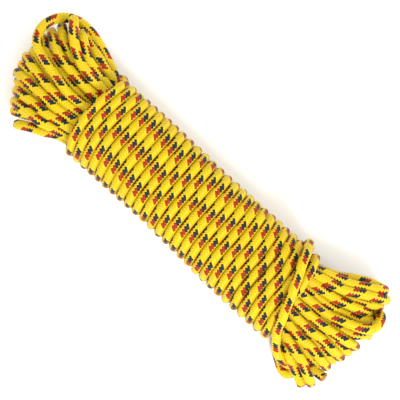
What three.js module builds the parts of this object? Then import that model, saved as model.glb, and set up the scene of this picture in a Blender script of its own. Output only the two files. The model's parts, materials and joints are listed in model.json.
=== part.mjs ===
// A 20 m climbing rope made up as a hank: it is laid back and forth in long runs, the middle of the runs is
// wrapped 27 times with the same rope, and the loops fan out at both ends. The last turn crosses over the
// wraps and its end is tucked into the loops.
//
// +X runs along the hank, +Y across it and +Z up from the floor that it lies on. Places are given in rope
// diameters and heights are those of the rope's centreline, so a rope on the floor has height 0.5.
import * as THREE from 'three';

// ---- driving dimensions
const ROPE_DIAMETER = 10; // millimetres
const TUBE = 0.88; // each drawn tube against the rope, so that neighbours keep a gap
const TUBE_SIDES = 8;
const STEP_GAP = 0.3 / ROPE_DIAMETER; // gap between pieces that meet end to end

const WRAPS = 27; // turns round the middle, one rope diameter apart
const FIRST_WRAP_X = -12.5;
const WRAP_STEPS = 16;
const WRAP_HALF_WIDTH = 3.95;
const WRAP_HALF_HEIGHT = 3.165;
const WRAP_MIDDLE_HEIGHT = 3.665;
const WRAP_SQUARENESS = 3; // power of the superellipse that a turn follows
const BACK_GROWTH = 0.06; // the first wraps reach further out on the +Y side, the last ones on the -Y side
const BACK_GROWTH_TURNS = [5, 15];
const FRONT_GROWTH = 0.145;
const FRONT_GROWTH_TURNS = [8, 22];

const LAYERS = [4, 5, 6, 7, 6, 3]; // runs in each layer of the bundle, lowest first
const LOWEST_LAYER = 1.5;
const LAYER_RISE = Math.sqrt(3) / 2;
const SHARED_LAYER = 3; // its middle run is a lower one, the others are upper ones

const BUNDLE_LEFT_X = -12;
const BUNDLE_RIGHT_X = 13;
const STRAIGHT_OUT = 0.7; // a loop leaves the bundle straight over this length
const LIFT = 0.92; // the last wraps lie on the finishing strand, which crosses under them
const LIFT_FROM_X = 8.5;
const LIFT_TO_X = 11.5;

const LOOP_SPACING = 0.5; // distance between the points that a settling loop is made of
const LOOP_STEP = 1.6; // length of one step of a drawn loop
const ON_FLOOR = 0.5;
const PRESSED = 0.2; // how far the rope's own weight presses its underside flat
const MIDDLE = { x: 0.1, y: 0.3 }; // the middle of the hank's box, in the places used below

// ---- materials
const YELLOW = new THREE.Color(0.86, 0.72, 0.03);

function ropeMaterial() {
  return new THREE.MeshStandardMaterial({ color: YELLOW.clone(), roughness: 0.75, metalness: 0 });
}

// ---- where the rope goes

function smoothStep(value, from, to) {
  const t = Math.min(1, Math.max(0, (value - from) / (to - from)));
  return t * t * (3 - 2 * t);
}

function liftAt(x) {
  return LIFT * smoothStep(x, LIFT_FROM_X, LIFT_TO_X);
}

// Angle 0 is the +Y edge, a quarter turn is the top and half a turn is the -Y edge.
function wrapSection(angle) {
  const power = 2 / WRAP_SQUARENESS;
  const [c, s] = [Math.cos(angle), Math.sin(angle)];
  return {
    y: WRAP_HALF_WIDTH * Math.sign(c) * Math.abs(c) ** power,
    z: WRAP_MIDDLE_HEIGHT + WRAP_HALF_HEIGHT * Math.sign(s) * Math.abs(s) ** power,
  };
}

function widened(turn, y) {
  if (y < 0) {
    return y * (1 + FRONT_GROWTH * smoothStep(turn, ...FRONT_GROWTH_TURNS));
  }
  return y * (1 + BACK_GROWTH * (1 - smoothStep(turn, ...BACK_GROWTH_TURNS)));
}

// On top a turn lies square across the hank. The first turns bow towards the left end, the last ones lean.
function wrapTopPoint(turn, angle) {
  const { y, z } = wrapSection(angle);
  const towardsBack = Math.max(0, y / WRAP_HALF_WIDTH);
  const towardsFront = Math.max(0, -y / WRAP_HALF_WIDTH);
  const bow = Math.max(0, 1 - turn / 7);
  const lean = Math.min(1, Math.max(0, (turn - 15) / 9));
  const x =
    FIRST_WRAP_X + turn + 0.45 * towardsFront ** 3 +
    bow * (0.65 * towardsBack ** 2 + 0.55 * towardsFront ** 2) - lean * 0.75 * towardsBack ** 2;
  return new THREE.Vector3(x, widened(turn, y), z + liftAt(x));
}

// Underneath, a turn moves on to where the next one starts.
function wrapUnderPoint(turn, angle) {
  const { y, z } = wrapSection(angle);
  const start = wrapTopPoint(turn, Math.PI).x;
  const end = wrapTopPoint(turn + 1, 0).x;
  const x = THREE.MathUtils.lerp(start, end, angle / Math.PI - 1);
  return new THREE.Vector3(x, widened(turn, y), z + liftAt(x));
}

function wrapPoints(turn) {
  const points = [];
  const half = WRAP_STEPS;
  for (let i = 0; i <= half; i += 1) {
    points.push(wrapTopPoint(turn, (Math.PI * i) / half));
  }
  if (turn < WRAPS - 1) {
    for (let i = 1; i <= half; i += 1) {
      points.push(wrapUnderPoint(turn, Math.PI * (1 + i / half)));
    }
  }
  return points;
}

// The places of the runs in the bundle, as [y, height], from the +Y side to the -Y side.
function bundlePlaces() {
  const upper = [];
  const lower = [];
  LAYERS.forEach((count, layer) => {
    for (let i = 0; i < count; i += 1) {
      const y = (count - 1) / 2 - i;
      const isUpper = layer > SHARED_LAYER || (layer === SHARED_LAYER && y !== 0);
      (isUpper ? upper : lower).push([y, LOWEST_LAYER + LAYER_RISE * layer]);
    }
  });
  const acrossThenDown = (a, b) => b[0] - a[0] || b[1] - a[1];
  return { upper: upper.sort(acrossThenDown), lower: lower.sort(acrossThenDown) };
}

// The loops that stand upright, from the +Y side to the -Y side: y half way out, y just before the tip, and
// the x and y of the tip. The loops left out are those that lie flatter, whose points are listed below.
const LEFT_LOOPS = {
  3: [2.4, 3.05, -20, 4.35],
  4: [1.68, 2.42, -20.45, 3.3],
  5: [0.75, 1.3, -20.7, 2.3],
  7: [-0.4, 0.2, -20.5, 0.75],
  8: [-0.9, -0.4, -20.6, 0],
  9: [-1.4, -1.15, -20.45, -1],
  10: [-1.87, -1.7, -20.1, -1.7],
  11: [-2.35, -2.25, -19.75, -2.3],
  12: [-2.8, -2.8, -19.2, -2.9],
  13: [-3.33, -3.78, -18.1, -4.6],
  14: [-3.6, -3.75, -18.6, -3.95],
  15: [-4, -4.36, -17, -5.3],
};
const RIGHT_LOOPS = {
  2: [3.6, 4.75, 20.4, 5.45],
  3: [2.95, 3.8, 20.5, 4.65],
  4: [2.4, 2.95, 20.2, 3.45],
  5: [1.6, 2.1, 20.6, 3.3],
  7: [0.2, 0.8, 21.4, 1.9],
  8: [-0.4, -0.05, 21.2, 0.2],
  9: [-0.95, -0.7, 21.05, -0.6],
  10: [-1.5, -1.4, 20.75, -1.5],
  11: [-2.1, -2.05, 20.45, -2.3],
  12: [-2.7, -2.7, 20.25, -2.95],
  13: [-3.1, -3.48, 19.9, -3.7],
  14: [-3.75, -4.4, 20.3, -5.2],
};

// The small loop at the +Y edge of the left end.
const LEFT_EDGE_LOOP = [
  [-14.7, 3.35, 5.1], [-15.7, 3.55, 5.3], [-16.5, 3.95, 5.4], [-17.2, 4.45, 5.3], [-17.9, 4.95, 5],
  [-18.15, 5.2, 4.3], [-17.7, 5.2, 3.5], [-16.8, 4.95, 3.9], [-15.7, 4.6, 4.4], [-14.7, 4.3, 4.6],
  [-13.3, 3.8, 4.4], [-12.4, 3.2, 4.3],
];
// The loop next to it, whose tip lies on the open loop.
const TOPMOST_LOOP = [
  [-13.3, 2.5, 5.2], [-14.7, 2.62, 5.6], [-15.7, 2.8, 5.75], [-16.8, 3.2, 5.85], [-17.8, 3.8, 5.95],
  [-18.5, 4.4, 6], [-19.1, 5.05, 6], [-19.5, 5.55, 5.6], [-19.5, 5.55, 5], [-19, 5, 4.6],
  [-18.2, 4.2, 4.2], [-17, 3.5, 3], [-15.7, 3.1, 2.1], [-13.3, 2.6, 2],
];
// The big open loop that lies flat on top of the left end.
const OPEN_LOOP = [
  [-14.7, -0.1, 5.9], [-16.6, 0.24, 5.9], [-18.5, 0.71, 5.8], [-19.95, 1.14, 5.5], [-20.9, 1.76, 5.2],
  [-21.35, 2.76, 4.9], [-21.3, 3.75, 4.5], [-20.8, 4.7, 4.1], [-19.95, 5.4, 3.6], [-19, 5.68, 3.3],
  [-17.95, 5.66, 3.3], [-16.6, 5.4, 3.5], [-15, 4.9, 3.6], [-13.3, 4.2, 3.5], [-12.4, 3.55, 3.4],
];
// The small loop at the +Y edge of the right end.
const RIGHT_EDGE_LOOP = [
  [16.7, 4.2, 5.2], [18.5, 5.15, 4.8], [19.5, 5.8, 4.3], [19.75, 6.05, 3.5], [19.2, 5.95, 2.9],
  [18.05, 5.6, 3.2], [16.9, 5, 3.8], [15.8, 4.3, 4.3], [14.7, 3.8, 4.8],
];
// The loop at the right end that leans over until it nearly closes.
const LEANING_LOOP = [
  [16.7, 0.65, 5.3], [18.5, 1.2, 5.4], [19.9, 1.65, 5.4], [20.8, 2.15, 5.2], [21.35, 2.85, 5],
  [21.35, 3.5, 4.7], [21.05, 4.1, 3.8], [20.6, 4, 2.2], [19.9, 3.2, 1], [18.4, 2.2, 0.6],
  [16.7, 1.2, 1.2],
];
// The loop on the floor that joins the first lower run to the last one.
const FLOOR_LOOP = [
  [14.9, -3.9, 1.8], [15.6, -4.75, 1], [16.7, -5.45, ON_FLOOR], [17.8, -5.95, ON_FLOOR],
  [18.5, -5.7, ON_FLOOR], [18.2, -4.7, ON_FLOOR], [17, -3.5, ON_FLOOR], [15.3, -1.9, 1.2],
];
// The end that the hank was begun with.
const STARTING_END = [
  [15.3, -3.8, 4.7], [16.7, -4.4, 5.1], [18.2, -5.1, 4.5], [19.8, -5.85, 3.6],
];
// From the last run, under the loops of the left end, up into the first wrap.
const LEAD_INTO_WRAPS = [
  [-12.9, -0.45, 1.3], [-13.9, 0, 0.6], [-14.4, 1.2, ON_FLOOR], [-14.2, 2.6, ON_FLOOR],
  [-13.2, 3.9, 1.2], [-12.3, 4.4, 2.5],
];
// From the last wrap, under it and up the +Y edge, across the top and into the loops of the right end.
const FINISHING_STRAND = [
  [13.95, -4.45, 3.3], [13.9, -3.9, 1.8], [13.5, -2.5, 0.7], [12.5, 0, ON_FLOOR],
  [11.9, 2.2, ON_FLOOR], [11.5, 3.9, 1.1], [11.4, 4.8, 2.6], [11.4, 4.95, 4.6], [11.5, 4.75, 6.3],
  [11.71, 3.9, 7.9], [12.14, 2.76, 8.5], [12.62, 1.62, 8.65], [13.1, 0.48, 8.7], [13.52, -0.67, 8.7],
  [14, -1.95, 8.5], [14.35, -3, 8], [14.85, -4, 7.2], [15.55, -4.8, 6.1], [16.5, -5.3, 4.9],
  [17.5, -5.25, 3.8], [18.6, -4.65, 3.2], [19.7, -4.1, 3], [21, -3.95, 3.1],
];

// The rope comes back along the upper run uK, goes through the left loop K and out along the lower run lK,
// and through the right loop K - 1 into the next upper run. The run l16 is the last.
// It leads into the wraps.
const LAST_RUN = 16;
const LEFT_END = {
  side: -1,
  bundleX: BUNDLE_LEFT_X,
  neckX: BUNDLE_LEFT_X - 1.8,
  halfWayX: -15.7,
  lift: 0,
  outerLoops: 'even',
  upper: 'l6 l1 u1 u2 u4 u3 u5 u6 u7 u8 u9 u10 u11 u12 u13'.split(' '),
  lower: 'l2 l3 l5 l4 l7 l9 l8 l11 l10 l12 l16 l13 l15 l14 u15 u14'.split(' '),
  loops: LEFT_LOOPS,
  flatLoops: { 1: LEFT_EDGE_LOOP, 2: TOPMOST_LOOP, 6: OPEN_LOOP },
};
const RIGHT_END = {
  side: 1,
  bundleX: BUNDLE_RIGHT_X,
  neckX: BUNDLE_RIGHT_X + 1.8,
  halfWayX: 16.7,
  lift: LIFT,
  outerLoops: 'odd',
  upper: 'l2 u1 u2 u3 u5 u4 u6 u7 u8 u9 u10 u11 u12 u13 u14'.split(' '),
  lower: 'l3 l4 l5 l6 l7 l9 l8 l11 l10 l12 l16 l13 l15 l14 l1 u15'.split(' '),
  loops: RIGHT_LOOPS,
  flatLoops: { 1: RIGHT_EDGE_LOOP, 6: LEANING_LOOP },
};
const PLACES = bundlePlaces();

// Where a run leaves the bundle at one end of the hank: the point itself and one straight out from it.
function placeOf(end, run) {
  const isUpper = end.upper.includes(run);
  const [y, height] = isUpper ? PLACES.upper[end.upper.indexOf(run)] : PLACES.lower[end.lower.indexOf(run)];
  return [0, STRAIGHT_OUT].map((out) => [end.bundleX + end.side * out, y, height + end.lift]);
}

// An upright loop: out over the top, down round a half circle and back underneath. Every second loop is
// smaller than its neighbours and lies inside them.
function uprightLoop(end, number, fromRun, toRun) {
  const [halfWayY, nearTipY, tipX, tipY] = end.loops[number];
  const outer = end.outerLoops === (number % 2 ? 'odd' : 'even');
  const top = outer ? 5.25 : 4.35;
  const bottom = outer ? 0.55 : 1.3;
  const radius = (top - bottom) / 2;
  const start = placeOf(end, fromRun);
  const finish = placeOf(end, toRun).reverse();
  const neck = ([[, y, height]]) => [end.neckX, 0.7 * y + 0.3 * halfWayY, height];
  const outwards = new THREE.Vector2(end.side * 1.6, tipY - nearTipY).normalize();
  const points = [
    ...start,
    neck(start),
    [end.halfWayX, halfWayY, outer ? 5.7 : 4.7],
  ];
  for (let i = 0; i <= 4; i += 1) {
    const angle = Math.PI * (0.5 - i / 4);
    const back = radius * (1 - Math.cos(angle));
    const height = (top + bottom) / 2 + radius * Math.sin(angle);
    points.push([tipX - outwards.x * back, tipY - outwards.y * back, height]);
  }
  points.push([end.halfWayX, halfWayY, outer ? 1.6 : 2.6]);
  points.push(neck(finish), ...finish);
  return points;
}

function curveThrough(points) {
  return new THREE.CatmullRomCurve3(points.map((p) => (p.isVector3 ? p : new THREE.Vector3(...p))));
}

function spaced(points, spacing) {
  const curve = curveThrough(points);
  return curve.getSpacedPoints(Math.max(4, Math.round(curve.getLength() / spacing)));
}

// Lets loops that cross push each other apart until they only touch. A push spreads smoothly along its loop,
// the ends of a loop stay where they are, and everything stays above the floor.
function settle(loops, obstacles, passes = 300) {
  const gap = 1;
  const points = loops.flatMap((loop, owner) =>
    loop.map((at, index) => ({
      at,
      laid: at.clone(),
      shift: new THREE.Vector3(),
      push: new THREE.Vector3(),
      owner,
      index,
      held: index < 2 || index > loop.length - 3,
    })));
  const away = new THREE.Vector3();
  const repel = (point, other, share) => {
    away.subVectors(point.at, other);
    const distance = Math.max(away.length(), 1e-6);
    if (distance < gap) {
      point.push.addScaledVector(away, (share * (gap - distance)) / distance);
    }
  };
  for (let pass = 0; pass < passes; pass += 1) {
    const smoothing = 0.5 * (1 - pass / passes);
    points.forEach((p) => p.push.set(0, 0, 0));
    for (const p of points) {
      for (const q of points) {
        if (p.owner !== q.owner || Math.abs(p.index - q.index) > 4) {
          repel(p, q.at, 0.5);
        }
      }
      obstacles.forEach((obstacle) => repel(p, obstacle, 1));
    }
    points.forEach((p, i) => {
      if (!p.held) {
        const neighbours = points[i - 1].shift.clone().add(points[i + 1].shift).multiplyScalar(0.5);
        p.shift.addScaledVector(p.push, 0.6).lerp(neighbours, smoothing);
        p.at.addVectors(p.laid, p.shift);
        p.at.z = Math.max(p.at.z, ON_FLOOR);
        p.shift.subVectors(p.at, p.laid);
      }
    });
  }
  return loops;
}

// ---- solids

function tubeSection() {
  const section = new THREE.Shape();
  for (let i = 0; i < TUBE_SIDES; i += 1) {
    const angle = (2 * Math.PI * (i + 0.5)) / TUBE_SIDES;
    const radius = (TUBE * ROPE_DIAMETER) / 2;
    section[i ? 'lineTo' : 'moveTo'](radius * Math.cos(angle), radius * Math.sin(angle));
  }
  return section;
}

// The part of a curve that leaves the given gap at each end.
class ShortenedCurve extends THREE.Curve {
  constructor(curve, gap) {
    super();
    this.curve = curve;
    this.cut = gap / curve.getLength();
  }

  getPoint(t, target = new THREE.Vector3()) {
    const point = this.curve.getPointAt(this.cut + t * (1 - 2 * this.cut));
    return target.copy(point).multiplyScalar(ROPE_DIAMETER);
  }
}

function tube(points, steps) {
  const path = new ShortenedCurve(curveThrough(points), STEP_GAP);
  return new THREE.ExtrudeGeometry(tubeSection(), { steps, extrudePath: path, bevelEnabled: false });
}

function loopTube(points) {
  return tube(points, Math.round(curveThrough(points).getLength() / LOOP_STEP));
}

// The runs inside the wraps, as one solid of their outer shape. It is drawn as a straight bar, whose
// section is then set upright and lifted where the last wraps are.
function bundleGeometry() {
  const outline = new THREE.Shape();
  const corners = 28;
  const inside = 0.62; // from the centreline of a wrap to the outside of the bundle
  for (let i = 0; i < corners; i += 1) {
    const { y, z } = wrapSection((2 * Math.PI * i) / corners);
    const across = y * (1 - inside / WRAP_HALF_WIDTH);
    const up = WRAP_MIDDLE_HEIGHT + (z - WRAP_MIDDLE_HEIGHT) * (1 - inside / WRAP_HALF_HEIGHT);
    outline[i ? 'lineTo' : 'moveTo'](across * ROPE_DIAMETER, up * ROPE_DIAMETER);
  }
  const gap = 2 * STEP_GAP;
  const depth = (BUNDLE_RIGHT_X - BUNDLE_LEFT_X - 2 * gap) * ROPE_DIAMETER;
  const bundle = new THREE.ExtrudeGeometry(outline, { steps: 30, depth, bevelEnabled: false });
  const [alongX, alongY, alongZ] = [0, 1, 2].map((axis) => new THREE.Vector3().setComponent(axis, 1));
  bundle.applyMatrix4(new THREE.Matrix4().makeBasis(alongY, alongZ, alongX));
  bundle.translate((BUNDLE_LEFT_X + gap) * ROPE_DIAMETER, 0, 0);
  const corner = bundle.attributes.position;
  for (let i = 0; i < corner.count; i += 1) {
    corner.setZ(i, corner.getZ(i) + liftAt(corner.getX(i) / ROPE_DIAMETER) * ROPE_DIAMETER);
  }
  return bundle;
}

// ---- the hank

const hank = new THREE.Group();
hank.position.set(-MIDDLE.x, -MIDDLE.y, -PRESSED).multiplyScalar(ROPE_DIAMETER);

function addPiece(name, geometry) {
  const corners = geometry.attributes.position;
  for (let i = 0; i < corners.count; i += 1) {
    corners.setZ(i, Math.max(corners.getZ(i), PRESSED * ROPE_DIAMETER));
  }
  const mesh = new THREE.Mesh(geometry, ropeMaterial());
  mesh.name = name;
  hank.add(mesh);
}

const twoDigits = (number) => String(number).padStart(2, '0');

function addBundle() {
  addPiece('run_bundle', bundleGeometry());
}

function addWraps() {
  for (let turn = 0; turn < WRAPS; turn += 1) {
    const lead = turn === 0 ? [...placeOf(LEFT_END, 'l16'), ...LEAD_INTO_WRAPS] : [];
    const points = [...lead, ...wrapPoints(turn)];
    const steps = Math.round(points.length / 2) + lead.length;
    addPiece(`wrap_${twoDigits(turn + 1)}`, tube(points, steps));
  }
}

function finishingPoints() {
  return [wrapTopPoint(WRAPS - 1, Math.PI), ...FINISHING_STRAND];
}

// The loops of one end. Each goes from the upper run of its number to the lower run that many further on.
function loopsAt(end, count, runsOn) {
  const loops = [];
  for (let number = 1; number <= count; number += 1) {
    const [fromRun, toRun] = [`u${number}`, `l${number + runsOn}`];
    const flat = end.flatLoops[number];
    loops.push(
      flat
        ? [...placeOf(end, fromRun), ...flat, ...placeOf(end, toRun).reverse()]
        : uprightLoop(end, number, fromRun, toRun),
    );
  }
  return loops;
}

const spacedLoop = (points) => spaced(points, LOOP_SPACING);

function addLeftLoops() {
  const lead = spacedLoop([...placeOf(LEFT_END, 'l16'), ...LEAD_INTO_WRAPS]);
  const obstacles = [...lead, ...spacedLoop(wrapPoints(0))];
  const loops = settle(loopsAt(LEFT_END, LAST_RUN - 1, 0).map(spacedLoop), obstacles);
  loops.forEach((points, i) => addPiece(`left_loop_${twoDigits(i + 1)}`, loopTube(points)));
}

function addRightLoops() {
  const start = [...placeOf(RIGHT_END, 'u15'), ...STARTING_END];
  const onFloor = [...placeOf(RIGHT_END, 'l1'), ...FLOOR_LOOP, ...placeOf(RIGHT_END, 'l16').reverse()];
  const obstacles = [...spacedLoop(finishingPoints()), ...spacedLoop(wrapPoints(WRAPS - 1))];
  const laid = [...loopsAt(RIGHT_END, LAST_RUN - 2, 1), start, onFloor].map(spacedLoop);
  const settled = settle(laid, obstacles);
  const names = settled.map((points, i) => `right_loop_${twoDigits(i + 1)}`);
  names.splice(-2, 2, 'starting_end', 'floor_loop');
  settled.forEach((points, i) => addPiece(names[i], loopTube(points)));
}

addBundle();
addWraps();
addPiece('finishing_strand', loopTube(finishingPoints()));
addLeftLoops();
addRightLoops();

export default hank;
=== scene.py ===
# A 20 m climbing rope of 10 mm made up as a flattened hank, as one braided rope that follows its whole route:
# long runs laid back and forth, loops fanned out at both ends, 27 wraps round the middle and a last turn
# whose end is tucked into the loops. It lies on a pale floor and is seen from straight above.
#
# The route is worked out in rope diameters, with the height of the rope's centreline as its third number.
import json
import math

import bpy
import numpy as np
from mathutils import Matrix, Vector

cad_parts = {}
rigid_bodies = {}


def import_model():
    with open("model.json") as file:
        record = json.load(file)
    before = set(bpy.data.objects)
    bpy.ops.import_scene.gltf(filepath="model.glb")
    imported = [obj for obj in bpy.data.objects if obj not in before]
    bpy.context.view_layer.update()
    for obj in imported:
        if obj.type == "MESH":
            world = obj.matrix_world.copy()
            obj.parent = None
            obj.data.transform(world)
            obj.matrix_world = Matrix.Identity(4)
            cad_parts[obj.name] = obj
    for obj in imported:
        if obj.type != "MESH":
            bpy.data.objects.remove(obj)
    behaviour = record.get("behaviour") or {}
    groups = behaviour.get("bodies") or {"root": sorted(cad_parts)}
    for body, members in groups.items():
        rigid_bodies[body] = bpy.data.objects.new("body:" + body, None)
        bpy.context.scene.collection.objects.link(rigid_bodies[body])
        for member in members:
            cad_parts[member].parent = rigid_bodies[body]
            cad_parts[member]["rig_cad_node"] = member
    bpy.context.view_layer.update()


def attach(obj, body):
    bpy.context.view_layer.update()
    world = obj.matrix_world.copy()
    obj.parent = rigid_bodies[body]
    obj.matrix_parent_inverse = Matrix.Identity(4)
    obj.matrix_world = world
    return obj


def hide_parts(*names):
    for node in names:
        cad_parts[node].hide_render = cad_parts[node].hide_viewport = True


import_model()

# ---- driving dimensions
DIAMETER = 0.010  # metres
MIDDLE = np.array([0.1, 0.3, 0.0])  # the middle of the hank, in rope diameters
ON_FLOOR = 0.5

WRAPS = 27
FIRST_WRAP_X = -12.5
WRAP_HALF_WIDTH = 3.95
WRAP_HALF_HEIGHT = 3.165
WRAP_MIDDLE_HEIGHT = 3.665
WRAP_SQUARENESS = 3
BACK_GROWTH = 0.06  # the first wraps reach further out on the +Y side, the last ones on the -Y side
BACK_GROWTH_TURNS = (5, 15)
FRONT_GROWTH = 0.145
FRONT_GROWTH_TURNS = (8, 22)
FRONT_LEAD = 0.45  # every wrap moves on a little towards the right end at its -Y edge
BOW_TURNS = 7  # the first wraps are bowed towards the right end at both edges
BOW_BACK = 0.65
BOW_FRONT = 0.55
LEAN_FROM_TURN = 15  # the last wraps lean back towards the left end at the +Y edge
LEAN_TURNS = 9
LEAN = 0.75
RUN_HALF_WIDTH = 3.2  # how far from the middle the centreline of a run inside the wraps can be
RUN_HALF_HEIGHT = 2.165
UPPER_NARROWING = 0.86  # the runs are closer together inside the wraps than at the neck
UPPER_STAGGER = 0.75
LOWER_SPACING = 0.39
LOWER_STAGGER = 0.8
NECK_NARROWING = 0.93  # the loops are closer together at the neck than half way out
NECK_EDGE_PULL = 0.008  # and the outer ones more so

LIFT = 0.92  # the last wraps lie on the finishing strand, which crosses under them
LIFT_FROM_X = 8.5
LIFT_TO_X = 11.5

LAST_RUN = 16
# Heights of the loops that stand on edge: on the way out, round the tip and on the way back.
OUTER_LOOP = {"over": 5.6, "top": 5.25, "bottom": 0.55, "under": 1.2}
INNER_LOOP = {"over": 4.95, "top": 4.45, "bottom": 1.25, "under": 2.1}
TIP_POINTS = 5

SETTLE_SPACING = 0.5
SETTLE_GAP = 0.86  # soft ropes that press on each other are closer than a diameter
SETTLE_PASSES = 260
NEIGHBOURS_EVERY = 20  # passes between two looks for which points are near each other
NEIGHBOUR_REACH = 2.0
NEIGHBOURS_ALONG = 5  # points this close along one loop never push each other

CURVE_SPACING = 0.05
CURVE_PIECES = 8

CARRIERS = 8  # strands of the braid each way round
BRAID_PITCH = 2.37  # length of rope in which a strand goes round once
FLOAT_LAP = 0.3  # how far a strand that winds to the left shows past the two strands it crosses
FLOAT_LENGTH = 2 + 2 * FLOAT_LAP  # how much of it shows, in strands
SIDES = 32  # four for each strand
RING_SPACING = BRAID_PITCH / SIDES
HIDDEN_STEP = 16  # inside the wraps only every so many rings are made
RELIEF = 0.035
MELTED_RELIEF = 0.3  # of the braid's relief that is left on the melted ends
END_RINGS = 6  # rings that round off each melted end
END_LENGTH = 0.22
MELTED_LENGTH = 0.12
BAKE_COLUMNS = 20  # the unrolled rope in the bake's texture, side by side
BAKE_MARGIN = 0.03

WALE_ANGLE = 0.11  # in the wraps, from the X direction to a row of the braid's long floats, in turns
# How far the tracers have slipped along the rope, in whole diameters, at a few of the wraps.
SLIP_AT_WRAPS = ((1, 1), (4, 1), (10, -4), (14, -4), (22, -9), (27, -10))

# ---- the loops: y half way out, y just before the tip, and the x and y of the tip
LEFT_LOOPS = {
    3: (2.4, 3.05, -20.0, 4.35),
    4: (1.68, 2.42, -20.45, 3.3),
    5: (0.75, 1.3, -20.7, 2.3),
    7: (-0.4, 0.2, -20.5, 0.75),
    8: (-0.9, -0.4, -20.6, 0.0),
    9: (-1.4, -1.15, -20.45, -1.0),
    10: (-1.87, -1.7, -20.1, -1.7),
    11: (-2.35, -2.25, -19.75, -2.3),
    12: (-2.8, -2.8, -19.2, -2.9),
    13: (-3.33, -3.78, -18.1, -4.6),
    14: (-3.6, -3.75, -18.6, -3.95),
    15: (-4.0, -4.36, -17.0, -5.3),
}
RIGHT_LOOPS = {
    2: (3.6, 4.75, 20.4, 5.45),
    3: (2.95, 3.8, 20.5, 4.65),
    4: (2.4, 2.95, 20.2, 3.45),
    5: (1.6, 2.1, 20.6, 3.3),
    7: (0.2, 0.8, 21.4, 1.9),
    8: (-0.4, -0.05, 21.2, 0.2),
    9: (-0.95, -0.7, 21.05, -0.6),
    10: (-1.5, -1.4, 20.75, -1.5),
    11: (-2.1, -2.05, 20.45, -2.3),
    12: (-2.7, -2.7, 20.25, -2.95),
    13: (-3.1, -3.48, 19.9, -3.7),
    14: (-3.75, -4.4, 20.3, -5.2),
}
# The small loop at the +Y edge of the left end.
LEFT_EDGE_LOOP = [
    (-14.7, 3.35, 5.1), (-15.7, 3.55, 5.3), (-16.5, 3.95, 5.4), (-17.2, 4.45, 5.3), (-17.9, 4.95, 5.0),
    (-18.15, 5.2, 4.3), (-17.7, 5.2, 3.5), (-16.8, 4.95, 3.9), (-15.7, 4.6, 4.4), (-14.7, 4.3, 4.6),
    (-13.3, 3.8, 4.4), (-12.4, 3.2, 4.3),
]
# The loop next to it, whose tip lies on the open loop.
TOPMOST_LOOP = [
    (-13.3, 2.5, 5.2), (-14.7, 2.62, 5.6), (-15.7, 2.8, 5.75), (-16.8, 3.2, 5.85), (-17.8, 3.8, 5.95),
    (-18.5, 4.4, 6.0), (-19.1, 5.05, 6.0), (-19.5, 5.55, 5.6), (-19.5, 5.55, 5.0), (-19.0, 5.0, 4.6),
    (-18.2, 4.2, 4.2), (-17.0, 3.5, 3.0), (-15.7, 3.1, 2.1), (-13.3, 2.6, 2.0),
]
# The big open loop that lies flat on top of the left end.
OPEN_LOOP = [
    (-14.7, -0.1, 5.9), (-16.6, 0.24, 5.9), (-18.5, 0.71, 5.8), (-19.95, 1.14, 5.5), (-20.9, 1.76, 5.2),
    (-21.35, 2.76, 4.9), (-21.3, 3.75, 4.5), (-20.8, 4.7, 4.1), (-19.95, 5.4, 3.6), (-19.0, 5.68, 3.3),
    (-17.95, 5.66, 3.3), (-16.6, 5.4, 3.5), (-15.0, 4.9, 3.6), (-13.3, 4.2, 3.5), (-12.4, 3.55, 3.4),
]
# The small loop at the +Y edge of the right end.
RIGHT_EDGE_LOOP = [
    (16.7, 4.2, 5.2), (18.5, 5.15, 4.8), (19.5, 5.8, 4.3), (19.75, 6.05, 3.5), (19.2, 5.95, 2.9),
    (18.05, 5.6, 3.2), (16.9, 5.0, 3.8), (15.8, 4.3, 4.3), (14.7, 3.8, 4.8),
]
# The loop at the right end that leans over until it nearly closes.
LEANING_LOOP = [
    (16.7, 0.65, 5.3), (18.5, 1.2, 5.4), (19.9, 1.65, 5.4), (20.8, 2.15, 5.2), (21.35, 2.85, 5.0),
    (21.35, 3.5, 4.7), (21.05, 4.1, 3.8), (20.6, 4.0, 2.2), (19.9, 3.2, 1.0), (18.4, 2.2, 0.6),
    (16.7, 1.2, 1.2),
]
# The loop on the floor that joins the first lower run to the last one.
FLOOR_LOOP = [
    (14.9, -3.9, 1.8), (15.6, -4.75, 1.0), (16.7, -5.45, ON_FLOOR), (17.8, -5.95, ON_FLOOR),
    (18.5, -5.7, ON_FLOOR), (18.2, -4.7, ON_FLOOR), (17.0, -3.5, ON_FLOOR), (15.3, -1.9, 1.2),
]
# The end that the hank was begun with.
STARTING_END = [(15.3, -3.8, 4.7), (16.7, -4.4, 5.1), (18.2, -5.1, 4.5), (19.8, -5.85, 3.6)]
# From the last run, under the loops of the left end, up into the first wrap.
LEAD_INTO_WRAPS = [
    (-12.9, -0.45, 1.3), (-13.9, 0.0, 0.6), (-14.4, 1.2, ON_FLOOR), (-14.2, 2.6, ON_FLOOR),
    (-13.2, 3.9, 1.2), (-12.3, 4.4, 2.5),
]
# From the last wrap, under it and up the +Y edge, across the top and into the loops of the right end.
FINISHING_STRAND = [
    (13.95, -4.45, 3.3), (13.9, -3.9, 1.8), (13.5, -2.5, 0.7), (12.5, 0.0, ON_FLOOR),
    (11.9, 2.2, ON_FLOOR), (11.5, 3.8, 1.1), (11.4, 4.5, 2.6), (11.4, 4.65, 4.6), (11.5, 4.45, 6.3),
    (11.71, 3.8, 7.9), (12.14, 2.76, 8.5), (12.62, 1.62, 8.65), (13.1, 0.48, 8.7), (13.52, -0.67, 8.7),
    (14.0, -1.95, 8.5), (14.35, -3.0, 8.0), (14.85, -4.0, 7.2), (15.55, -4.8, 6.1), (16.5, -5.3, 4.9),
    (17.5, -5.25, 3.8), (18.6, -4.65, 3.2), (19.7, -4.1, 3.0), (21.0, -3.95, 3.1),
]

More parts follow.
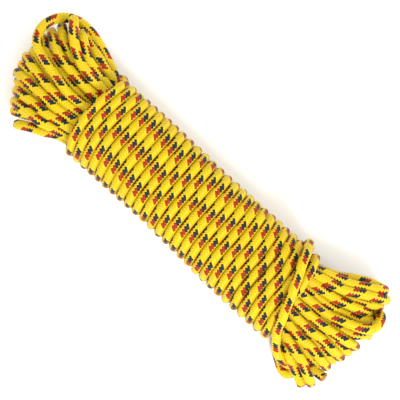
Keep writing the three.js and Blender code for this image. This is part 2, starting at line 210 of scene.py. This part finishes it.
# ---- the two ends of the bundle. Runs are named u1 to u15 (upper) and l1 to l16 (lower).
LOWER_ORDER = [2, 3, 4, 5, 6, 7, 8, 9, 10, 11, 12, LAST_RUN, 13, 14, 15]
LEFT_END = {
    "side": -1,
    "bundle_x": -11.0,
    "neck_x": -13.3,
    "half_way_x": -15.7,
    "lift": 0.0,
    "loops": LEFT_LOOPS,
    "flat_loops": {1: LEFT_EDGE_LOOP, 2: TOPMOST_LOOP, 6: OPEN_LOOP},
    "other_half_way_y": {1: 3.6, 2: 2.8, 6: 0.24},
    "other_places": {"l1": (2.9, 4.3), "l6": (2.95, 3.4)},
}
RIGHT_END = {
    "side": 1,
    "bundle_x": 12.2,
    "neck_x": 14.4,
    "half_way_x": 16.7,
    "lift": LIFT,
    "loops": RIGHT_LOOPS,
    "flat_loops": {1: RIGHT_EDGE_LOOP, 6: LEANING_LOOP},
    "other_half_way_y": {1: 4.2, 6: 0.65, 15: -4.4},
    "other_places": {"l1": (-2.2, 3.3), "l2": (2.9, 4.0)},
}


def smooth_step(value, start, end):
    t = min(1.0, max(0.0, (value - start) / (end - start)))
    return t * t * (3 - 2 * t)


def lift_at(x):
    return LIFT * smooth_step(x, LIFT_FROM_X, LIFT_TO_X)


# ---- curves


def evenly_spaced(points, spacing):
    points = np.asarray(points, float)
    steps = np.linalg.norm(np.diff(points, axis=0), axis=1)
    along = np.concatenate([[0.0], np.cumsum(steps)])
    count = max(3, round(along[-1] / spacing) + 1)
    wanted = np.linspace(0.0, along[-1], count)
    return np.stack([np.interp(wanted, along, points[:, axis]) for axis in range(3)], axis=1)


def smooth_curve(points, spacing, pieces=12):
    """A Catmull-Rom curve through the points."""
    p = np.asarray(points, float)
    p = np.vstack([2 * p[0] - p[1], p, 2 * p[-1] - p[-2]])
    t = np.linspace(0.0, 1.0, pieces, endpoint=False)[:, None]
    parts = []
    for a, b, c, d in zip(p[:-3], p[1:-2], p[2:-1], p[3:]):
        square = 2 * a - 5 * b + 4 * c - d
        cube = -a + 3 * b - 3 * c + d
        parts.append(0.5 * (2 * b + (c - a) * t + square * t**2 + cube * t**3))
    parts.append(p[-2][None])
    return evenly_spaced(np.vstack(parts), spacing)


# ---- the wraps


def wrap_section(angle):
    """y and height: angle 0 is the +Y edge, a quarter turn is the top and half a turn the -Y edge."""
    power = 2 / WRAP_SQUARENESS
    c, s = math.cos(angle), math.sin(angle)
    y = WRAP_HALF_WIDTH * math.copysign(abs(c) ** power, c)
    return y, WRAP_MIDDLE_HEIGHT + WRAP_HALF_HEIGHT * math.copysign(abs(s) ** power, s)


def widened(turn, y):
    if y < 0:
        return y * (1 + FRONT_GROWTH * smooth_step(turn, *FRONT_GROWTH_TURNS))
    return y * (1 + BACK_GROWTH * (1 - smooth_step(turn, *BACK_GROWTH_TURNS)))


def wrap_top_point(turn, angle):
    y, height = wrap_section(angle)
    back = max(0.0, y / WRAP_HALF_WIDTH)
    front = max(0.0, -y / WRAP_HALF_WIDTH)
    bow = max(0.0, 1 - turn / BOW_TURNS)
    lean = min(1.0, max(0.0, (turn - LEAN_FROM_TURN) / LEAN_TURNS))
    x = FIRST_WRAP_X + turn + FRONT_LEAD * front**3
    x += bow * (BOW_BACK * back**2 + BOW_FRONT * front**2) - lean * LEAN * back**2
    return x, widened(turn, y), height + lift_at(x)


def wrap_under_point(turn, angle):
    """Underneath, a turn moves on to where the next one starts."""
    y, height = wrap_section(angle)
    start = wrap_top_point(turn, math.pi)[0]
    end = wrap_top_point(turn + 1, 0.0)[0]
    x = start + (end - start) * (angle / math.pi - 1)
    return x, widened(turn, y), height + lift_at(x)


def wrap_points(turn, steps=30):
    points = [wrap_top_point(turn, math.pi * i / steps) for i in range(steps + 1)]
    if turn < WRAPS - 1:
        points += [wrap_under_point(turn, math.pi * (1 + i / steps)) for i in range(1, steps)]
    return points


# ---- the runs and the loops


def half_way_y(end, number):
    if number in end["other_half_way_y"]:
        return end["other_half_way_y"][number]
    return end["loops"][number][0]


def neck_y(end, number):
    """Where an upper strand comes out from under the wraps."""
    y = half_way_y(end, number)
    return y * (NECK_NARROWING - NECK_EDGE_PULL * y * y)


def room(y):
    """Half the height that the runs have inside the wraps, that far from the middle."""
    return RUN_HALF_HEIGHT * (1 - min(1.0, abs(y) / RUN_HALF_WIDTH) ** 3) ** (1 / 3)


def place(end, run):
    """Where a run ends and its loop starts."""
    number = int(run[1:])
    if run in end["other_places"]:
        y, height = end["other_places"][run]
    elif run[0] == "u":
        y = UPPER_NARROWING * neck_y(end, number)
        height = WRAP_MIDDLE_HEIGHT + room(y) - (UPPER_STAGGER if number % 2 else 0.0)
    else:
        index = LOWER_ORDER.index(number)
        y = LOWER_SPACING * (len(LOWER_ORDER) / 2 - 0.5 - index)
        height = WRAP_MIDDLE_HEIGHT - room(y) + (0.0 if index % 2 else LOWER_STAGGER)
    return end["bundle_x"], y, height + end["lift"]


def upright_loop(end, number, from_run, to_run):
    """Out over the top, down round a half circle and back underneath."""
    y_half_way, y_near_tip, tip_x, tip_y = end["loops"][number]
    heights = INNER_LOOP if number % 2 else OUTER_LOOP
    radius = (heights["top"] - heights["bottom"]) / 2
    tip_height = (heights["top"] + heights["bottom"]) / 2
    start, finish = place(end, from_run), place(end, to_run)
    outwards = np.array([end["side"] * 1.6, tip_y - y_near_tip])
    outwards /= np.linalg.norm(outwards)
    half_way_x = end["side"] * min(abs(end["half_way_x"]), abs(tip_x) - radius - 0.8)
    points = [
        start,
        (end["neck_x"], neck_y(end, number), 0.55 * start[2] + 0.45 * heights["over"]),
        (half_way_x, y_half_way, heights["over"]),
    ]
    for i in range(TIP_POINTS):
        angle = math.pi * (0.5 - i / (TIP_POINTS - 1))
        back = radius * (1 - math.cos(angle))
        height = tip_height + radius * math.sin(angle)
        points.append((tip_x - outwards[0] * back, tip_y - outwards[1] * back, height))
    points.append((half_way_x, y_half_way, heights["under"]))
    points.append((end["neck_x"], 0.6 * finish[1] + 0.35 * y_half_way, finish[2]))
    points.append(finish)
    return points


def loops_at(end, count, runs_on):
    """Each loop goes from the upper run of its number to the lower run that many further on."""
    loops = []
    for number in range(1, count + 1):
        from_run, to_run = f"u{number}", f"l{number + runs_on}"
        if number in end["flat_loops"]:
            loops.append([place(end, from_run), *end["flat_loops"][number], place(end, to_run)])
        else:
            loops.append(upright_loop(end, number, from_run, to_run))
    return loops


def near_pairs(at, others, same):
    distance = np.linalg.norm(at[:, None] - others, axis=2)
    distance[:, : len(at)][same] = math.inf
    return np.nonzero(distance < NEIGHBOUR_REACH)


def settle(loops, obstacles):
    """Lets loops that cross push each other apart until they only press on each other a little."""
    sizes = [len(loop) for loop in loops]
    laid = np.vstack(loops)
    owner = np.repeat(np.arange(len(loops)), sizes)
    index = np.concatenate([np.arange(size) for size in sizes])
    from_end = np.concatenate([np.arange(size)[::-1] for size in sizes])
    free = np.flatnonzero((index > 1) & (from_end > 1))
    same = (owner[:, None] == owner) & (abs(index[:, None] - index) < NEIGHBOURS_ALONG)
    shift = np.zeros_like(laid)
    for step in range(SETTLE_PASSES):
        at = laid + shift
        others = np.vstack([at, obstacles])
        if step % NEIGHBOURS_EVERY == 0:
            one, other = near_pairs(at, others, same)
        away = at[one] - others[other]
        distance = np.maximum(np.linalg.norm(away, axis=1), 1e-6)
        share = np.maximum(SETTLE_GAP - distance, 0.0) / distance
        share[other < len(at)] *= 0.5
        push = np.stack([np.bincount(one, away[:, axis] * share, len(at)) for axis in range(3)], axis=1)
        smoothing = 0.5 * (1 - step / SETTLE_PASSES)
        between = (shift[free - 1] + shift[free + 1]) / 2
        moved = (1 - smoothing) * (shift[free] + 0.6 * push[free]) + smoothing * between
        moved[:, 2] = np.maximum(moved[:, 2], ON_FLOOR - laid[free, 2])
        shift[free] = moved
    return np.split(laid + shift, np.cumsum(sizes)[:-1])


def coarse(points):
    return smooth_curve(points, SETTLE_SPACING)


def run_between(run, towards_left):
    """The points of a run inside the wraps, without its two ends."""
    left, right = place(LEFT_END, run), place(RIGHT_END, run)
    points = []
    for x in np.linspace(LEFT_END["bundle_x"] + 1, RIGHT_END["bundle_x"] - 1, 12):
        t = (x - LEFT_END["bundle_x"]) / (RIGHT_END["bundle_x"] - LEFT_END["bundle_x"])
        y = left[1] + (right[1] - left[1]) * t
        height = left[2] + (right[2] - LIFT - left[2]) * t + lift_at(x)
        points.append((x, y, height))
    return points[::-1] if towards_left else points


def whole_route():
    """Every point of the rope in order, which of them lie inside the wraps, and the wraps' first and last."""
    finishing = coarse([wrap_top_point(WRAPS - 1, math.pi), *FINISHING_STRAND])
    lead = coarse([place(LEFT_END, "l16"), *LEAD_INTO_WRAPS])
    first_wrap, last_wrap = coarse(wrap_points(0)), coarse(wrap_points(WRAPS - 1))

    left = [coarse(loop) for loop in loops_at(LEFT_END, LAST_RUN - 1, 0)]
    left = settle(left, np.vstack([lead, first_wrap]))
    right = [coarse(loop) for loop in loops_at(RIGHT_END, LAST_RUN - 2, 1)]
    right.append(coarse([place(RIGHT_END, "u15"), *STARTING_END]))
    right.append(coarse([place(RIGHT_END, "l1"), *FLOOR_LOOP, place(RIGHT_END, "l16")]))
    right = settle(right, np.vstack([finishing, last_wrap]))
    *right, starting_end, floor_loop = right

    stretches = [(starting_end[::-1], False)]
    for number in range(LAST_RUN - 1, 0, -1):
        stretches.append((run_between(f"u{number}", True), True))
        stretches.append((left[number - 1], False))
        stretches.append((run_between(f"l{number}", False), True))
        if number > 1:
            stretches.append((right[number - 2][::-1], False))
    stretches.append((floor_loop, False))
    stretches.append((run_between("l16", True), True))
    stretches.append((lead, False))
    for turn in range(WRAPS):
        stretches.append((wrap_points(turn), False))
    stretches.append((finishing[1:], False))

    points = np.vstack([np.asarray(part) for part, _ in stretches])
    hidden = np.concatenate([np.full(len(part), inside) for part, inside in stretches])
    last_wrap_point = len(points) - len(finishing)
    points_in_wraps = sum(len(wrap_points(turn)) for turn in range(WRAPS))
    return points, hidden, last_wrap_point + 1 - points_in_wraps, last_wrap_point


def rings(points, hidden):
    """Centres at the braid's own spacing, how far along the rope each is, and each route point's place."""
    fine = smooth_curve(points, CURVE_SPACING, CURVE_PIECES)
    chords = np.concatenate([[0.0], np.cumsum(np.linalg.norm(np.diff(points, axis=0), axis=1))])
    along = np.concatenate([[0.0], np.cumsum(np.linalg.norm(np.diff(fine, axis=0), axis=1))])
    places = chords * along[-1] / chords[-1]
    count = int(along[-1] / RING_SPACING)
    wanted = np.arange(count + 1) * RING_SPACING
    centres = np.stack([np.interp(wanted, along, fine[:, axis]) for axis in range(3)], axis=1)
    inside = np.interp(wanted, places, hidden.astype(float)) > 0.99
    keep = ~inside | (np.arange(count + 1) % HIDDEN_STEP == 0)
    return centres[keep], wanted[keep], places


def ring_frames(centres):
    """Two directions square to the rope at each ring, carried along it without twist."""
    tangents = np.gradient(centres, axis=0)
    tangents /= np.linalg.norm(tangents, axis=1)[:, None]
    first = np.cross(tangents[0], (0.0, 0.0, 1.0))
    normals = [first / np.linalg.norm(first)]
    for tangent in tangents[1:]:
        normal = normals[-1] - tangent * (normals[-1] @ tangent)
        normals.append(normal / np.linalg.norm(normal))
    normals = np.array(normals)
    return normals, np.cross(tangents, normals)


# ---- the rope's surface


def braid_height(u, v):
    """Height of the braid, from 0 between the strands to 1 on top of them. One unit is one strand."""
    p, q = u + v, u - v
    on_forward = np.mod(np.floor(p) + q + FLOAT_LAP, 4)
    on_backward = np.mod(np.floor(q) + p - 2, 4)
    forward = on_forward < FLOAT_LENGTH
    across = np.where(forward, np.mod(p, 1), np.mod(q, 1))
    along = np.where(forward, on_forward / FLOAT_LENGTH, np.clip(on_backward / 2, 0, 1))
    return np.sqrt(4 * across * (1 - across)) * (0.35 + 0.65 * np.sin(math.pi * along))


def rounded_end(centre, behind):
    """Centres and radii of the rings that close an end, from the rope outwards."""
    outwards = (centre - behind) / np.linalg.norm(centre - behind)
    angles = np.arange(1, END_RINGS + 1) / (END_RINGS + 0.5) * math.pi / 2
    return centre + np.outer(np.sin(angles) * END_LENGTH, outwards), 0.5 * np.cos(angles)


def twist_in_wraps(normals, binormals, along, wraps_from, wraps_to):
    """Turns the braid so that it faces the same way in every wrap, and holds that turn outside them."""
    to_x = np.arctan2(binormals[:, 0], normals[:, 0])
    in_wraps = (along >= wraps_from) & (along <= wraps_to)
    turns = np.unwrap(to_x[in_wraps]) + 2 * math.pi * WALE_ANGLE
    return np.interp(along, along[in_wraps], turns)


def slip_along(along, wraps_from, wraps_to):
    wraps, slips = zip(*SLIP_AT_WRAPS)
    tops = (np.array(wraps) - 0.75) / WRAPS  # a wrap starts a quarter turn before its top
    return np.interp(along, wraps_from + tops * (wraps_to - wraps_from), slips)


def tube_mesh(name, centres, along, wraps_from, wraps_to):
    """The rope's surface: rings round the route, dented between the strands, with both ends rounded off."""
    normals, binormals = ring_frames(centres)
    twist = twist_in_wraps(normals, binormals, along, wraps_from, wraps_to)
    first, first_radii = rounded_end(centres[0], centres[1])
    last, last_radii = rounded_end(centres[-1], centres[-2])
    centres = np.vstack([first[::-1], centres, last])
    first_reach = np.linalg.norm(first - centres[END_RINGS], axis=1)
    last_reach = np.linalg.norm(last - centres[-END_RINGS - 1], axis=1)
    along = np.concatenate([along[0] - first_reach[::-1], along, along[-1] + last_reach])
    radii = np.concatenate([first_radii[::-1], np.full(len(normals), 0.5), last_radii])
    normals = np.pad(normals, ((END_RINGS, END_RINGS), (0, 0)), mode="edge")
    binormals = np.pad(binormals, ((END_RINGS, END_RINGS), (0, 0)), mode="edge")
    twist = np.pad(twist, END_RINGS, mode="edge")

    around = np.arange(SIDES + 1) / SIDES
    u = np.broadcast_to(around * CARRIERS, (len(centres), SIDES + 1))
    slipped = along - wraps_from + slip_along(along, wraps_from, wraps_to)
    v = np.broadcast_to((slipped / BRAID_PITCH * CARRIERS)[:, None], u.shape)
    melted = (along < MELTED_LENGTH) | (along > along[-1] - END_LENGTH - MELTED_LENGTH)
    relief = np.where(melted, MELTED_RELIEF * RELIEF, RELIEF)[:, None]
    reach = radii[:, None] - relief * (1 - braid_height(u[:, :-1], v[:, :-1]))
    angle = 2 * math.pi * around[:-1] + twist[:, None]
    out = np.cos(angle)[:, :, None] * normals[:, None] + np.sin(angle)[:, :, None] * binormals[:, None]
    corners = centres[:, None] + out * reach[:, :, None]

    ring = np.arange(len(centres) - 1)[:, None] * SIDES
    side = np.arange(SIDES)[None, :]
    beside = (side + 1) % SIDES
    faces = np.stack([ring + side, ring + beside, ring + SIDES + beside, ring + SIDES + side], axis=2)
    last_ring = (len(centres) - 1) * SIDES
    closing = np.concatenate([np.arange(SIDES)[::-1], last_ring + np.arange(SIDES)])

    mesh = bpy.data.meshes.new(name)
    count = faces.shape[0] * SIDES
    mesh.vertices.add(corners.shape[0] * SIDES)
    mesh.vertices.foreach_set("co", ((corners - MIDDLE) * DIAMETER).ravel())
    mesh.loops.add(count * 4 + 2 * SIDES)
    mesh.loops.foreach_set("vertex_index", np.concatenate([faces.ravel(), closing]).astype(np.int32))
    mesh.polygons.add(count + 2)
    starts = np.append(np.arange(count + 1) * 4, count * 4 + SIDES)
    mesh.polygons.foreach_set("loop_start", starts.astype(np.int32))
    mesh.polygons.foreach_set("loop_total", np.append(np.full(count, 4), [SIDES, SIDES]).astype(np.int32))
    mesh.polygons.foreach_set("use_smooth", np.ones(count + 2, dtype=bool))
    melted_faces = np.append(np.repeat(melted[:-1] & melted[1:], SIDES), [True, True])
    mesh.polygons.foreach_set("material_index", melted_faces.astype(np.int32))
    add_uv_layer(mesh, "braid", u, v)

    row = np.arange(len(centres))[:, None]
    rows = math.ceil((len(centres) - 1) / BAKE_COLUMNS)
    column = np.minimum(row // rows, BAKE_COLUMNS - 1)
    bake_u = BAKE_MARGIN + (1 - 2 * BAKE_MARGIN) * around
    add_uv_layer(mesh, "OFBake", (column + bake_u) / BAKE_COLUMNS, (row - column * rows) / rows, 1 / rows)
    mesh.update(calc_edges=True)
    return mesh


def add_uv_layer(mesh, name, u, v, row_height=None):
    """u and v for each corner. With a row height, every row of faces starts at its own ring's v."""
    next_u, next_v = u[1:], v[1:]
    if row_height is not None:
        next_u, next_v = u[:-1], v[:-1] + row_height
    v = np.broadcast_to(v, u.shape)
    next_v = np.broadcast_to(next_v, next_u.shape)
    corners_u = np.stack([u[:-1, :-1], u[:-1, 1:], next_u[:, 1:], next_u[:, :-1]], axis=2)
    corners_v = np.stack([v[:-1, :-1], v[:-1, 1:], next_v[:, 1:], next_v[:, :-1]], axis=2)
    ends_u = np.concatenate([u[0, :-1][::-1], u[-1, :-1]])
    ends_v = np.concatenate([v[0, :-1][::-1], v[-1, :-1]])
    all_u = np.concatenate([corners_u.ravel(), ends_u])
    all_v = np.concatenate([corners_v.ravel(), ends_v])
    all_uv = np.stack([all_u, all_v], axis=1).ravel().astype(np.float32)
    mesh.uv_layers.new(name=name).data.foreach_set("uv", all_uv)


# ---- materials


class Nodes:
    """Short ways to add nodes to a material."""

    def __init__(self, name):
        self.material = bpy.data.materials.new(name)
        self.material.use_nodes = True
        self.tree = self.material.node_tree
        self.shader = self.tree.nodes["Principled BSDF"]

    def put(self, socket, value):
        if isinstance(value, bpy.types.NodeSocket):
            self.tree.links.new(value, socket)
        else:
            socket.default_value = value

    def math(self, operation, *values):
        node = self.tree.nodes.new("ShaderNodeMath")
        node.operation = operation
        for socket, value in zip(node.inputs, values):
            self.put(socket, value)
        return node.outputs[0]

    def choose(self, factor, if_one, if_zero):
        chosen = self.math("MULTIPLY", factor, if_one)
        return self.math("ADD", chosen, self.math("MULTIPLY", self.math("SUBTRACT", 1.0, factor), if_zero))

    def mix(self, factor, a, b, blend="MIX"):
        node = self.tree.nodes.new("ShaderNodeMix")
        node.data_type = "RGBA"
        node.blend_type = blend
        self.put(node.inputs["Factor"], factor)
        self.put(node.inputs[6], a)
        self.put(node.inputs[7], b)
        return node.outputs[2]

    def noise(self, scale, detail=3.0):
        node = self.tree.nodes.new("ShaderNodeTexNoise")
        geometry = self.tree.nodes.new("ShaderNodeTexCoord")
        self.tree.links.new(geometry.outputs["Object"], node.inputs["Vector"])
        node.inputs["Scale"].default_value = scale
        node.inputs["Detail"].default_value = detail
        return node.outputs[0]

    def bump(self, height, strength, distance):
        node = self.tree.nodes.new("ShaderNodeBump")
        self.put(node.inputs["Height"], height)
        node.inputs["Strength"].default_value = strength
        node.inputs["Distance"].default_value = distance
        self.tree.links.new(node.outputs[0], self.shader.inputs["Normal"])


YELLOW = (0.6, 0.4, 0.002, 1.0)
PALE_YELLOW = (0.66, 0.54, 0.005, 1.0)
RED = (0.29, 0.017, 0.001, 1.0)
NAVY = (0.006, 0.014, 0.021, 1.0)
MELTED = (0.42, 0.17, 0.02, 1.0)
MELTED_DARK = (0.2, 0.07, 0.01, 1.0)
DARKEST_PAINTED_SHADE = (0.72, 0.58, 0.58)  # painted shade: the factor on a strand's red, green and blue where it dives under another
YARNS = 5  # seen across one strand


def braid_material():
    n = Nodes("braided_sheath")
    uv = n.tree.nodes.new("ShaderNodeUVMap")
    uv.uv_map = "braid"
    parts = n.tree.nodes.new("ShaderNodeSeparateXYZ")
    n.tree.links.new(uv.outputs[0], parts.inputs[0])
    u, v = parts.outputs[0], parts.outputs[1]
    p, q = n.math("ADD", u, v), n.math("SUBTRACT", u, v)
    strand_p, strand_q = n.math("FLOOR", p), n.math("FLOOR", q)
    on_forward = n.math("FLOORED_MODULO", n.math("ADD", n.math("ADD", strand_p, q), FLOAT_LAP), 4.0)
    on_backward = n.math("FLOORED_MODULO", n.math("SUBTRACT", n.math("ADD", strand_q, p), 2.0), 4.0)
    forward = n.math("LESS_THAN", on_forward, FLOAT_LENGTH)
    across = n.choose(forward, n.math("FRACT", p), n.math("FRACT", q))
    on_backward = n.math("MINIMUM", n.math("MULTIPLY", on_backward, 0.5), 1.0)
    along = n.choose(forward, n.math("DIVIDE", on_forward, FLOAT_LENGTH), on_backward)

    # The tracers: of the eight strands that wind to the left, two are navy and two are red.
    carrier = n.math("FLOORED_MODULO", strand_p, float(CARRIERS))
    navy = n.math("MULTIPLY", forward, n.math("LESS_THAN", carrier, 1.5))
    coloured = n.math("MULTIPLY", forward, n.math("LESS_THAN", carrier, 3.5))
    yellow = n.mix(n.noise(60.0), YELLOW, PALE_YELLOW)
    colour = n.mix(coloured, yellow, RED)
    colour = n.mix(navy, colour, NAVY)

    # Painted shade darkens the strands' colour where they dive under others, and the strands show their fine
    # yarns.
    inside_strand = n.math("MULTIPLY", across, n.math("SUBTRACT", 1.0, across))
    crown = n.math("POWER", n.math("MULTIPLY", 4.0, inside_strand), 0.5)
    arch = n.math("SINE", n.math("MULTIPLY", along, math.pi))
    depth = n.math("MULTIPLY", crown, n.math("ADD", 0.4, n.math("MULTIPLY", 0.6, arch)))
    yarns = n.math("SINE", n.math("MULTIPLY", across, 2 * math.pi * YARNS))
    painted_shade_colour = n.tree.nodes.new("ShaderNodeCombineColor")
    for socket, darkest in zip(painted_shade_colour.inputs, DARKEST_PAINTED_SHADE):
        n.put(socket, n.math("ADD", darkest, n.math("MULTIPLY", 1 - darkest, depth)))
    # the painted shade multiplies the strands' colour
    colour = n.mix(1.0, colour, painted_shade_colour.outputs[0], "MULTIPLY")
    n.put(n.shader.inputs["Base Color"], colour)
    n.put(n.shader.inputs["Roughness"], n.math("ADD", 0.42, n.math("MULTIPLY", 0.2, n.noise(900.0))))
    n.put(n.shader.inputs["Specular IOR Level"], 0.2)
    n.put(n.shader.inputs["Sheen Weight"], 0.03)
    n.put(n.shader.inputs["Sheen Roughness"], 0.4)
    n.bump(n.math("ADD", depth, n.math("MULTIPLY", 0.12, yarns)), 0.5, 0.0004)
    return n.material


def melted_material():
    """The sheath and the core melted together on the cut ends."""
    n = Nodes("melted_end")
    n.put(n.shader.inputs["Base Color"], n.mix(n.noise(500.0), MELTED_DARK, MELTED))
    n.put(n.shader.inputs["Roughness"], n.math("ADD", 0.3, n.math("MULTIPLY", 0.3, n.noise(700.0))))
    n.bump(n.noise(600.0), 0.6, 0.0006)
    return n.material


def floor_material():
    n = Nodes("pale_floor")
    n.put(n.shader.inputs["Base Color"], (0.95, 0.95, 0.95, 1.0))
    n.put(n.shader.inputs["Roughness"], 0.9)
    return n.material


# ---- the camera and the lights

SENSOR = 36.0
CAMERA_HEIGHT = 8.0  # metres above the floor
HANK_TOP = 0.06
VIEW_WIDTH = 0.381  # metres across the picture, at the height of the hank's top
VIEW_OFFSET = (0.0088, -0.0011)  # from the hank's origin to the picture's middle, right and up in it
CAMERA_ROLL = math.radians(41.8)
FLOOR_REACH = 3.0
FLOOR_DROP = 0.0005  # just below the rope's underside
WORLD_STRENGTH = 1.4
KEY_LIGHT_PLACE = (1.3, -0.5, 1.5)
KEY_LIGHT_SIZE = 0.7
KEY_LIGHT_POWER = 33.0


def area_light(name, position, size, power, target=(0.0, 0.0, 0.03)):
    light = bpy.data.lights.new(name, "AREA")
    light.shape = "DISK"
    light.size = size
    light.energy = power
    item = bpy.data.objects.new(name, light)
    item.location = position
    item.rotation_euler = (Vector(target) - Vector(position)).to_track_quat("-Z", "Y").to_euler()
    bpy.context.collection.objects.link(item)


def add_camera():
    """Straight above, turned so that the hank runs down to the lower right."""
    camera = bpy.data.cameras.new("camera")
    camera.sensor_width = SENSOR
    camera.lens = SENSOR * (CAMERA_HEIGHT - HANK_TOP) / VIEW_WIDTH
    item = bpy.data.objects.new("camera", camera)
    bpy.context.collection.objects.link(item)
    turn = Matrix.Rotation(CAMERA_ROLL, 4, "Z")
    place_in_view = Matrix.Translation((*VIEW_OFFSET, CAMERA_HEIGHT))
    item.matrix_world = turn @ place_in_view
    bpy.context.scene.camera = item


def add_floor():
    mesh = bpy.data.meshes.new("floor")
    reach = FLOOR_REACH
    corners = [(-reach, -reach, 0), (reach, -reach, 0), (reach, reach, 0), (-reach, reach, 0)]
    mesh.from_pydata(corners, [], [(0, 1, 2, 3)])
    floor = bpy.data.objects.new("floor", mesh)
    floor.location.z = -FLOOR_DROP
    mesh.materials.append(floor_material())
    bpy.context.collection.objects.link(floor)


def add_world():
    world = bpy.data.worlds.new("studio")
    world.use_nodes = True
    background = world.node_tree.nodes["Background"]
    background.inputs[0].default_value = (1.0, 1.0, 1.0, 1.0)
    background.inputs[1].default_value = WORLD_STRENGTH
    bpy.context.scene.world = world


# ---- making it


def add_rope():
    """The whole rope as one piece, fixed to the root body, with the CAD parts hidden."""
    route, inside_wraps, wraps_start, wraps_end = whole_route()
    centres, along_rope, places = rings(route, inside_wraps)
    rope_mesh = tube_mesh("rope", centres, along_rope, places[wraps_start], places[wraps_end])
    rope = bpy.data.objects.new("rope", rope_mesh)
    bpy.context.collection.objects.link(rope)
    rope.data.materials.append(braid_material())
    rope.data.materials.append(melted_material())
    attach(rope, "root")
    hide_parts(*[item.name for item in bpy.data.objects if "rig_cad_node" in item])


def use_plain_colours():
    """Shows the materials' colours without a film curve."""
    bpy.context.scene.view_settings.view_transform = "Standard"


add_camera()
add_rope()
add_floor()
add_world()
area_light("key", KEY_LIGHT_PLACE, KEY_LIGHT_SIZE, KEY_LIGHT_POWER)
use_plain_colours()
